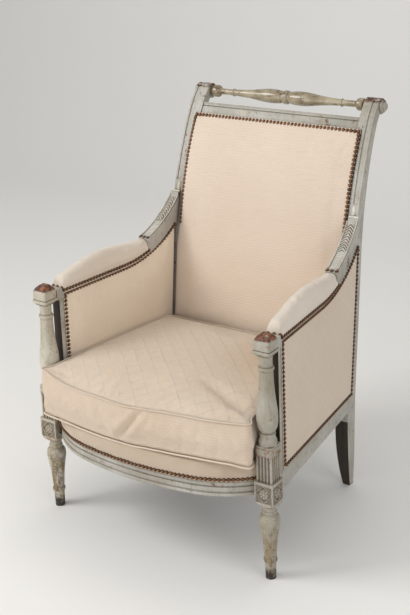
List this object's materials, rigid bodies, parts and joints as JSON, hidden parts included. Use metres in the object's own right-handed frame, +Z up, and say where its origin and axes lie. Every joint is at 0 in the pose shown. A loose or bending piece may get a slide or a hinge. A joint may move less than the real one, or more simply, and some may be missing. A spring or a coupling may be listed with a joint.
{
  "type": "bergere armchair",
  "caption": "Upholstered armchair with turned, fluted front posts, a raked scrolled back, closed padded sides, padded arms, a bow-fronted seat rail and a loose seat cushion",
  "frame": {"origin": "on the floor under the middle of the chair's outline", "axes": "+Z up, the chair faces -Y, +X is the sitter's left"},
  "size_m": [0.6466, 0.7272, 0.941],
  "materials": {
    "worn_grey_paint": "thin worn grey paint, satin, rubbed to the wood on edges",
    "dark_stripped_wood": "dark stained, dull",
    "aged_gilt_wood": "glossy olive brown paint over old gilding",
    "raw_beech": "bare, matt",
    "jute": "coarse matt weave",
    "horsehair": "matt fibre",
    "striped_cotton": "matt cream cotton with fine self stripes",
    "plain_cotton": "soft matt off-white",
    "black_cotton": "thin matt"
  },
  "bodies": {
    "chair": {"front_post_left": "worn_grey_paint", "front_post_right": "worn_grey_paint", "back_stile_left": "worn_grey_paint", "back_stile_right": "worn_grey_paint", "front_seat_rail": "worn_grey_paint", "side_seat_rail_left": "worn_grey_paint", "side_seat_rail_right": "worn_grey_paint", "rear_seat_rail": "worn_grey_paint", "panel_upright_left": "dark_stripped_wood", "panel_upright_right": "dark_stripped_wood", "arm_left": "worn_grey_paint", "arm_right": "worn_grey_paint", "back_top_rail": "worn_grey_paint", "back_lower_rail": "worn_grey_paint", "crest_spindle": "aged_gilt_wood", "scroll_button_left": "worn_grey_paint", "scroll_button_right": "worn_grey_paint", "corner_blocks": "raw_beech", "seat_webbing": "jute", "seat_hessian": "jute", "seat_edge_roll": "horsehair", "seat_stuffing": "horsehair", "seat_cover": "striped_cotton", "bottom_cloth": "black_cotton", "back_webbing": "jute", "back_hessian": "jute", "back_pad": "striped_cotton", "back_outer_cover": "striped_cotton", "side_pad_left": "striped_cotton", "side_pad_right": "striped_cotton", "side_outer_cover_left": "striped_cotton", "side_outer_cover_right": "striped_cotton", "arm_pad_left": "plain_cotton", "arm_pad_right": "plain_cotton"},
    "cushion": {"cushion_body": "striped_cotton", "cushion_piping_top": "plain_cotton", "cushion_piping_bottom": "plain_cotton"}
  },
  "joints": [
    {"name": "cushion_lift", "type": "slide", "parent": "chair", "child": "cushion", "axis": [0, 0, 1], "range_m": [0, 0.7]}
  ]
}
